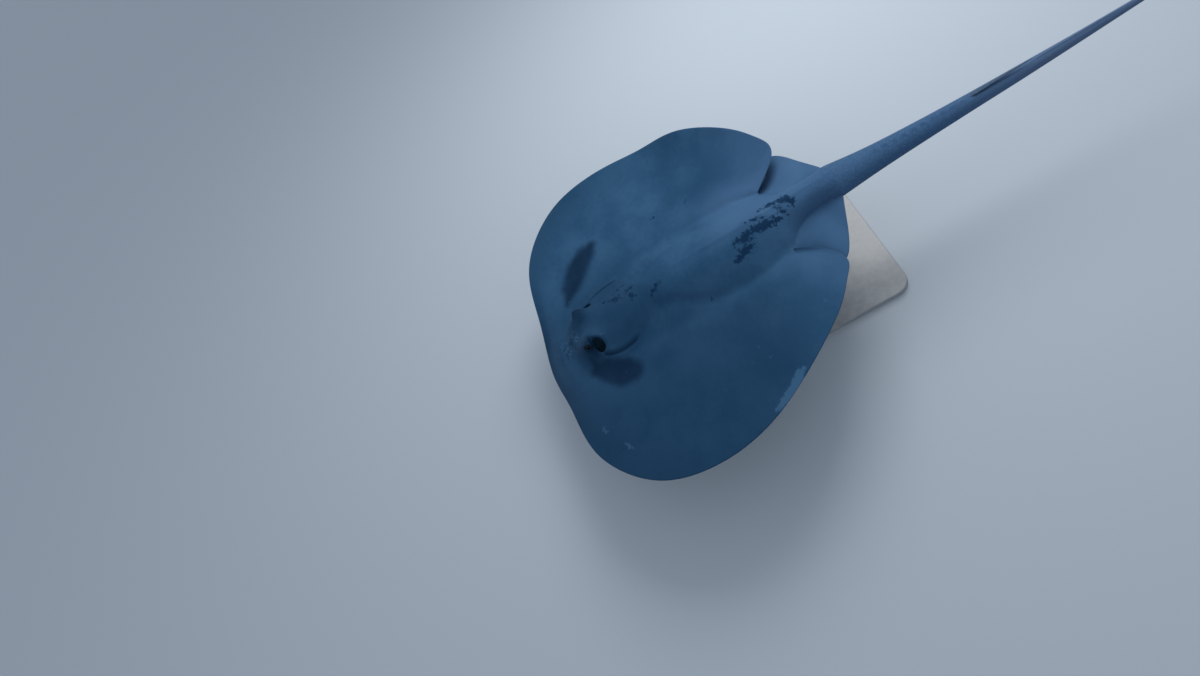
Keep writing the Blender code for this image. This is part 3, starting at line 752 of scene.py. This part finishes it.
# ---- skin: material ----
class Nodes:
    """A material's nodes, added one after another and joined by name."""

    def __init__(self, name):
        self.material = bpy.data.materials.new(name)
        self.material.use_nodes = True
        self.tree = self.material.node_tree
        self.shader = self.tree.nodes["Principled BSDF"]

    def join(self, source, target):
        """Join an output, or set a plain value on a socket."""
        if isinstance(source, bpy.types.NodeSocket):
            self.tree.links.new(source, target)
        else:
            target.default_value = source

    def give(self, name, value):
        """Join an output, or set a plain value, on the shader's own socket."""
        self.join(value, self.shader.inputs[name])

    def math(self, operation, a, b):
        """One Math node."""
        node = self.tree.nodes.new("ShaderNodeMath")
        node.operation = operation
        for socket, value in zip(node.inputs, (a, b)):
            self.join(value, socket)
        return node.outputs[0]

    def times(self, a, b):
        """a * b."""
        return self.math("MULTIPLY", a, b)

    def plus(self, a, b):
        """a + b."""
        return self.math("ADD", a, b)

    def ragged(self, value, noise, middle, amount):
        """A value moved up and down by a noise about its middle, for an uneven edge."""
        return self.plus(value, self.times(self.math("SUBTRACT", noise, middle), amount))

    def ramp(self, value, low, high):
        """Map low..high to 0..1 with smooth ends."""
        node = self.tree.nodes.new("ShaderNodeMapRange")
        node.interpolation_type = "SMOOTHSTEP"
        for socket, item in zip(node.inputs, (value, low, high)):
            self.join(item, socket)
        return node.outputs[0]

    def mix(self, factor, a, b):
        """Mix two colours."""
        node = self.tree.nodes.new("ShaderNodeMix")
        node.data_type = "RGBA"
        self.join(factor, node.inputs[0])
        for value, socket in ((a, node.inputs[6]), (b, node.inputs[7])):
            self.join((*value, 1.0) if isinstance(value, tuple) else value, socket)
        return node.outputs[2]

    def cover(self, color, mask, strength, tint):
        """Lay a tint over a colour where a mask says, up to a strength."""
        return self.mix(self.times(mask, strength), color, tint)

    def mark(self, name):
        """A number kept on the mesh."""
        node = self.tree.nodes.new("ShaderNodeAttribute")
        node.attribute_name = name
        return node.outputs["Fac"]

    def place(self):
        """Object coordinates."""
        return self.tree.nodes.new("ShaderNodeTexCoord").outputs["Object"]

    def combine(self, x, y, z):
        """A vector from three numbers."""
        node = self.tree.nodes.new("ShaderNodeCombineXYZ")
        for socket, value in zip(node.inputs, (x, y, z)):
            self.join(value, socket)
        return node.outputs[0]

    def noise(self, vector, scale, detail=3.0, rough=0.55, warp=0.0):
        """Noise between 0 and 1."""
        node = self.tree.nodes.new("ShaderNodeTexNoise")
        self.join(vector, node.inputs["Vector"])
        node.inputs["Scale"].default_value = scale
        node.inputs["Detail"].default_value = detail
        node.inputs["Roughness"].default_value = rough
        node.inputs["Distortion"].default_value = warp
        return node.outputs["Fac"]

    def cells(self, vector, scale):
        """Distance to the nearest of scattered points."""
        node = self.tree.nodes.new("ShaderNodeTexVoronoi")
        self.join(vector, node.inputs["Vector"])
        node.inputs["Scale"].default_value = scale
        return node.outputs["Distance"]

    def bump(self, height, distance, strength=1.0):
        """Bump the shader's normal, on top of any bump before it."""
        node = self.tree.nodes.new("ShaderNodeBump")
        node.inputs["Strength"].default_value = strength
        node.inputs["Distance"].default_value = distance
        self.join(height, node.inputs["Height"])
        if self.shader.inputs["Normal"].is_linked:
            self.join(self.shader.inputs["Normal"].links[0].from_socket, node.inputs["Normal"])
        self.join(node.outputs[0], self.shader.inputs["Normal"])


SLATE_DEEP = (0.0065, 0.03, 0.068)
SLATE = (0.019, 0.0635, 0.131)
SLATE_PALE = (0.0345, 0.095, 0.18)
PATCH_AND_SHADE_DARK = (0.0035, 0.013, 0.034)
SCAR_DARK = (0.0055, 0.024, 0.062)
PALE_MARK = (0.055, 0.135, 0.24)
TAIL_DARK = (0.027, 0.063, 0.137)
TAIL_PALE = (0.058, 0.126, 0.236)
TAIL_FADED = (0.1, 0.145, 0.235)
BELLY_WHITE = (0.52, 0.56, 0.58)
BELLY_GREY = (0.15, 0.2, 0.25)
INSIDE_SHADE = (0.014, 0.036, 0.056)
OPENING_PINK_AND_SHADE = (0.06, 0.04, 0.045)

paint = Nodes("ray_skin")
where = paint.place()
large = paint.noise(where, 2.6, 4.0, 0.55)
middle_noise = paint.noise(where, 11.0, 5.0, 0.6)
small = paint.noise(where, 60.0, 4.0, 0.6)
fine = paint.noise(where, 300.0, 3.0, 0.6)
rays = paint.combine(paint.times(paint.mark("ray_number"), 7.0),
                     paint.times(paint.mark("way_out"), 1.6), 0.0)
streaks = paint.noise(rays, 3.0, 3.0, 0.55)

tone = paint.plus(paint.times(large, 0.55), paint.times(middle_noise, 0.3))
tone = paint.plus(tone, paint.times(small, 0.15))
color = paint.mix(paint.ramp(tone, 0.36, 0.64), SLATE, SLATE_PALE)
# painted shade over the left wing, the head and the front rim
color = paint.cover(color, paint.mark("shade"), 0.8, SLATE_DEEP)
# painted light on the rear and the right flank
color = paint.cover(color, paint.mark("painted_light"), 0.72, TAIL_PALE)

# the tail: mottled and specked, and paler towards its end
rough = paint.mark("rough")
speck = paint.times(paint.ramp(paint.cells(where, 110.0), 0.2, 0.08),
                    paint.ramp(middle_noise, 0.46, 0.62))
mottle = paint.ramp(paint.noise(where, 130.0, 4.0, 0.7), 0.32, 0.66)
mottle = paint.plus(0.15, paint.times(mottle, 0.6))
tail_color = paint.mix(speck, paint.mix(mottle, TAIL_DARK, TAIL_PALE), PALE_MARK)
color = paint.cover(color, rough, 0.7, tail_color)
color = paint.cover(color, paint.mark("faded"), 0.6, TAIL_FADED)

# dark patches beside the head, partly painted shade in the hollows there; painted shade along the cheek
# grooves; orbits that are dark skin and painted shade round the eyes; the marbled snout, and pale flecks
patch_and_shade = paint.mark("patch_and_shade")
patch_edge = paint.ragged(patch_and_shade, middle_noise, 0.5, 1.1)
color = paint.cover(color, paint.ramp(patch_edge, 0.05, 1.15), 0.85, PATCH_AND_SHADE_DARK)
# painted shade along the crescent groove behind each spiracle
color = paint.cover(color, paint.mark("groove"), 0.75, PATCH_AND_SHADE_DARK)
# the orbits: dark skin and painted shade round each eye
color = paint.cover(color, paint.mark("orbit"), 0.8, PATCH_AND_SHADE_DARK)
swirl = paint.noise(where, 34.0, 3.0, 0.6, 1.6)
marbled = paint.times(paint.mark("marble"), 0.65)
color = paint.cover(color, paint.ramp(swirl, 0.5, 0.62), marbled, PATCH_AND_SHADE_DARK)
color = paint.cover(color, paint.ramp(swirl, 0.46, 0.38), marbled, PALE_MARK)
flecks = paint.times(paint.ramp(paint.cells(where, 21.0), 0.16, 0.05),
                     paint.ramp(paint.noise(where, 8.0, 2.0), 0.54, 0.64))
color = paint.cover(color, flecks, 0.22, PALE_MARK)

# worn pale places, painted light along the left wing's rear edge, and torn dark scars
worn_and_lit = paint.ramp(paint.ragged(paint.mark("worn_and_lit"), small, 0.5, 1.8), 0.25, -0.15)
color = paint.cover(color, worn_and_lit, 0.55, PALE_MARK)
torn = paint.plus(paint.noise(where, 30.0, 4.0, 0.65), paint.noise(where, 90.0, 3.0, 0.6))
scar = paint.ramp(paint.ragged(paint.mark("scar"), torn, 0.97, 5.0), 0.55, -0.3)
color = paint.cover(color, scar, 0.92, SCAR_DARK)

# the belly is pale, greyer and then slate towards its rim
way_out = paint.mark("way_out")
rim = paint.ramp(paint.ragged(way_out, middle_noise, 0.5, 0.35), 1.74, 1.95)
belly_color = paint.mix(rim, BELLY_WHITE, BELLY_GREY)
belly_color = paint.mix(paint.ramp(way_out, 1.9, 1.98), belly_color, SLATE_DEEP)
belly_color = paint.cover(belly_color, paint.ramp(tone, 0.55, 0.7), 0.35, BELLY_GREY)
color = paint.mix(paint.ramp(paint.mark("belly"), 0.35, 0.65), color, belly_color)
# dark pink tissue and painted shade in the openings under the body
color = paint.cover(color, paint.mark("opening"), 0.85, OPENING_PINK_AND_SHADE)
# painted shade inside the spiracles and in the hidden hollow behind each eye
color = paint.mix(paint.mark("recess"), color, INSIDE_SHADE)
paint.give("Base Color", color)

dull = paint.math("MAXIMUM", patch_and_shade, scar)
gloss = paint.plus(paint.times(small, 0.16), paint.times(dull, 0.3))
paint.give("Roughness", paint.plus(0.44, gloss))
paint.give("Specular IOR Level", 0.06)
paint.give("Specular Tint", (0.3, 0.6, 1.0, 1.0))
paint.bump(streaks, 0.0006, 0.25)
paint.bump(small, 0.0008, 0.4)
paint.bump(fine, 0.0003, 0.6)
warts = paint.times(paint.ramp(paint.cells(where, 170.0), 0.5, 0.05), rough)
warts = paint.times(warts, paint.ramp(middle_noise, 0.4, 0.62))
paint.bump(warts, 0.0012, 0.6)
skin.data.materials.append(paint.material)
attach(skin, "root")
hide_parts("head", "trunk", "pectoral_fin_left", "pectoral_fin_right", "pelvic_fin_left",
            "pelvic_fin_right", "tail_base", "tail_middle", "tail_tip")


# ---- eyes ----
# A glass eye is set in each orbit: a glossy dark ball that bulges in front, with
# a faint iris and a half-moon pupil, ringed by the dark margin of the lids.
EYE_BALL_RINGS = 49
EYE_BALL_SPOKES = 64


def eye_ball(side):
    """A sphere about the gaze with a bulge in front, in rings from the front pole to the back.

    Returns places, faces, and each place's angle and turn.
    """
    angle, turn = np.meshgrid(np.linspace(0, math.pi, EYE_BALL_RINGS),
                              full_turn(EYE_BALL_SPOKES), indexing="ij")
    bulge = 1 + 0.045 * ease((0.75 - angle) / 0.5)
    ball = bulge[..., None] * about_gaze(side, angle, turn)
    vertices = EYE_PLACE * (side, 1, 1) + (EYE_RADIUS - 0.0006) * ball
    quads = grid_quads(np.arange(angle.size).reshape(angle.shape), round_columns=True)
    return vertices.reshape(-1, 3), quads, angle.reshape(-1), turn.reshape(-1)


def lid_margin(side):
    """A closed ring of round section that lies along the lid's opening."""
    turn = full_turn(96)[:, None]
    section = full_turn(12)[None]
    angle = lid_opening(turn) + math.radians(1.0)
    out = about_gaze(side, angle, turn)
    slip = about_gaze(side, angle + math.pi / 2, turn)
    thick, wide = 0.0005 * np.cos(section)[..., None], 0.0012 * np.sin(section)[..., None]
    vertices = EYE_PLACE * (side, 1, 1) + (EYE_RADIUS + 0.0001 + thick) * out + wide * slip
    index = np.arange(vertices.size // 3).reshape(vertices.shape[:2])
    return vertices.reshape(-1, 3), grid_quads(index, round_columns=True, round_rows=True)


glass = Nodes("eye_glass")
turned = glass.mark("eye_turn")
opened = glass.mark("eye_angle")
spokes = glass.noise(glass.combine(turned, opened, 0.0), 9.0, 3.0, 0.6)
iris = glass.mix(glass.ramp(spokes, 0.35, 0.65), (0.002, 0.0036, 0.005), (0.007, 0.0085, 0.008))
flap = glass.mark("eye_height")
pupil = glass.times(glass.ramp(opened, 0.4, 0.36), glass.ramp(flap, 0.1, 0.06))
ball_color = glass.mix(pupil, iris, (0.0008, 0.001, 0.0014))
ball_color = glass.mix(glass.ramp(opened, 0.6, 0.7), ball_color, (0.012, 0.018, 0.026))
glass.give("Base Color", ball_color)
glass.give("Roughness", 0.12)
glass.give("Specular IOR Level", 0.12)
glass.give("Coat Weight", 0.08)
glass.give("Coat Roughness", 0.04)

lid = Nodes("lid_margin")
damp = lid.noise(lid.place(), 400.0, 2.0)
lid.give("Base Color", lid.mix(damp, (0.003, 0.01, 0.02), (0.007, 0.02, 0.036)))
lid.give("Roughness", 0.55)
lid.give("Specular IOR Level", 0.15)
lid.bump(damp, 0.0002, 0.6)

for side, label in ((1.0, "left"), (-1.0, "right")):
    ball, ball_quads, angles, turns = eye_ball(side)
    ring, ring_quads = lid_margin(side)
    eye = new_mesh_object("glass_eye_" + label, to_frame(np.concatenate([ball, ring])),
                          ball_quads.tolist() + (ring_quads + len(ball)).tolist())
    eye.data.materials.append(glass.material)
    eye.data.materials.append(lid.material)
    slots = np.zeros(len(ball_quads) + len(ring_quads), np.int32)
    slots[len(ball_quads):] = 1
    eye.data.polygons.foreach_set("material_index", slots)
    ball_marks = {"eye_angle": angles, "eye_turn": turns, "eye_height": -np.cos(turns) * np.sin(angles)}
    keep_marks(eye, {name: np.append(values, np.zeros(len(ring))) for name, values in ball_marks.items()})
    face_outwards(eye, weld=1e-6)
    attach(eye, "root")
    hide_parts("eye_" + label)


# ---- sting ----
# The sting is a hard flat blade that grows out of the tail, grooved along its
# upper face and saw-toothed along both edges.  It is painted slate like the tail.
STING_ROOT = 1.74
STING_LENGTH = 0.21
STING_HALF = 0.0068


def sting_mesh():
    """Rows from root to point; the half width carries a saw with its steep side forward."""
    t = np.linspace(0, 1, 181)
    tooth = np.mod(t * 44, 1.0)
    plain = STING_HALF * (1 - t ** 2.2) + 0.0004
    barbs = ease((t - 0.25) / 0.1) * (1 - t) ** 0.3 * 0.0016
    bed = ease(t / 0.09)
    half = np.maximum((plain - barbs * (1 - tooth)) * (0.55 + 0.45 * bed), 0.0003)
    turn = full_turn(16)[None]
    thick = (0.0024 * (0.35 + 0.65 * plain / STING_HALF))[:, None]
    groove = 0.3 * bell(np.cos(turn), 0.35) * (np.sin(turn) > 0)
    x = half[:, None] * np.cos(turn)
    z = thick * np.sin(turn) * (1 - groove)
    y = STING_ROOT + STING_LENGTH * t
    rest = along(TAIL, 4, y) + along(TAIL, 2, y) + 0.003 + 0.0075 * t - 0.005 * (1 - bed)
    place = np.stack([x, np.broadcast_to(y[:, None], x.shape), z + rest[:, None]], -1)
    ends = place[[0, -1]].mean(1)
    index = np.arange(x.size).reshape(x.shape)
    quads = grid_quads(index, round_columns=True).tolist()
    caps = []
    for pole, a, b in ((x.size, np.roll(index[0], -1), index[0]),
                       (x.size + 1, index[-1], np.roll(index[-1], -1))):
        caps += np.stack([np.full(len(a), pole), a, b], -1).tolist()
    return np.concatenate([place.reshape(-1, 3), ends]), quads + caps


sting_vertices, sting_faces = sting_mesh()
sting = new_mesh_object("barbed_sting", to_frame(sting_vertices), sting_faces)
face_outwards(sting)
STING_DARK = (0.03, 0.064, 0.115)
STING_PALE = (0.056, 0.1, 0.16)
blade = Nodes("sting_blade")
grain = blade.noise(blade.place(), 220.0, 4.0, 0.6)
blade.give("Base Color", blade.mix(blade.ramp(grain, 0.35, 0.7), STING_DARK, STING_PALE))
blade.give("Roughness", 0.6)
blade.give("Specular IOR Level", 0.15)
blade.bump(grain, 0.0003, 0.6)
sting.data.materials.append(blade.material)
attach(sting, "root")
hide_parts("tail_sting")


# ---- stand base ----
# The base is a board painted satin pale grey, with rounded corners and a fine
# bevel; its solid from the model stays and gets the paint.
board = Nodes("painted_board")
board_place = board.place()
brushed = board.noise(board_place, 35.0, 4.0, 0.6)
board_grey = board.mix(board.ramp(brushed, 0.3, 0.7), (0.24, 0.255, 0.27), (0.29, 0.305, 0.32))
board.give("Base Color", board_grey)
board.give("Roughness", board.plus(0.34, board.times(brushed, 0.14)))
board.bump(board.noise(board_place, 500.0, 2.0), 0.0002, 0.5)


def refinish(name, material):
    """Give a solid of the model a new material; its mesh stays."""
    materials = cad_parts[name].data.materials
    materials.clear()
    materials.append(material)


refinish("stand_base", board.material)


# ---- stand rods ----
# Two round brushed steel rods carry the body.  Each stands in a turned steel
# collar that is fixed to the board, and ends in a blind socket in the belly.
steel = Nodes("brushed_steel")
steel_place = steel.place()
lines = steel.noise(steel_place, 900.0, 2.0)
cloudy = steel.noise(steel_place, 25.0)
steel.give("Base Color", steel.mix(cloudy, (0.3, 0.305, 0.31), (0.4, 0.405, 0.41)))
steel.give("Metallic", 1.0)
steel.give("Roughness", steel.plus(0.26, steel.times(lines, 0.12)))
steel.bump(lines, 0.0001, 0.4)
COLLAR = ((0.0153, 0.0202), (0.0340, 0.0202), (0.0345, 0.0212), (0.0345, 0.0255), (0.0335, 0.0265),
          (0.0225, 0.0270), (0.0215, 0.0280), (0.0210, 0.0400), (0.0200, 0.0412), (0.0153, 0.0412))


def turned_ring(profile, centre):
    """A profile of (radius, height) swept once round an upright axis, closed on itself."""
    profile = np.array(profile)
    turn = full_turn(48)[:, None]
    x = centre[0] + profile[None, :, 0] * np.cos(turn)
    y = centre[1] + profile[None, :, 0] * np.sin(turn)
    z = np.broadcast_to(profile[None, :, 1], x.shape)
    index = np.arange(x.size).reshape(x.shape)
    quads = grid_quads(index, round_columns=True, round_rows=True)
    return np.stack([x, y, z], -1).reshape(-1, 3), quads


for label in ("front", "rear"):
    refinish("stand_rod_" + label, steel.material)
    low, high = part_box("stand_rod_" + label)
    middle_of_rod = ((low[0] + high[0]) / 2, (low[1] + high[1]) / 2)
    ring, ring_quads = turned_ring(COLLAR, middle_of_rod)
    collar = new_mesh_object("rod_collar_" + label, ring, ring_quads.tolist())
    face_outwards(collar)
    collar.data.set_sharp_from_angle(angle=math.radians(35))
    collar.data.materials.append(steel.material)
    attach(collar, "root")


# ---- floor, light and camera ----
# A plain pale studio floor; one large soft lamp high over the animal's right
# side and behind it, so that its left side lies in soft shade.
FLOOR_HALF = 40
floor_corners = [(x * FLOOR_HALF, y * FLOOR_HALF, 0) for x, y in ((-1, -1), (1, -1), (1, 1), (-1, 1))]
floor_piece = new_mesh_object("studio_floor", floor_corners, [(0, 1, 2, 3)])
floor_paint = Nodes("studio_floor")
floor_paint.give("Base Color", (0.42, 0.47, 0.52, 1.0))
floor_paint.give("Roughness", 0.9)
floor_piece.data.materials.append(floor_paint.material)
bpy.context.scene.view_settings.view_transform = "Standard"

LAMP_PLACE = Vector((-1.9, 1.3, 2.6))
LAMP_AIM = Vector((-0.1, 0.0, 0.3))
lamp = bpy.data.lights.new("key_lamp", "AREA")
lamp.shape = "SQUARE"
lamp.size = 1.8
lamp.energy = 74.0
lamp.color = (1.0, 0.99, 0.97)
lamp_holder = bpy.data.objects.new("key_lamp", lamp)
lamp_holder.location = LAMP_PLACE
lamp_holder.rotation_euler = (LAMP_AIM - LAMP_PLACE).to_track_quat("-Z", "Y").to_euler()
bpy.context.scene.collection.objects.link(lamp_holder)

world = bpy.data.worlds.new("studio")
bpy.context.scene.world = world
world.use_nodes = True
world.node_tree.nodes["Background"].inputs["Color"].default_value = (0.8, 0.88, 1.0, 1.0)
world.node_tree.nodes["Background"].inputs["Strength"].default_value = 0.62

CAMERA_PLACE = Vector((1.6675, 0.2031, 2.432))
CAMERA_AIM = Vector((0.0212, -0.4439, 0.32))
CAMERA_ROLL = math.radians(-47.47)
CAMERA_LENS = 21.81
camera_data = bpy.data.cameras.new("camera")
camera_data.lens = CAMERA_LENS
camera_data.sensor_width = 36.0
camera_data.sensor_fit = "HORIZONTAL"
camera_data.clip_end = 200.0
camera = bpy.data.objects.new("camera", camera_data)
aimed = (CAMERA_AIM - CAMERA_PLACE).to_track_quat("-Z", "Y").to_matrix().to_4x4()
camera.matrix_world = Matrix.Translation(CAMERA_PLACE) @ aimed @ Matrix.Rotation(CAMERA_ROLL, 4, "Z")
bpy.context.scene.collection.objects.link(camera)
bpy.context.scene.camera = camera
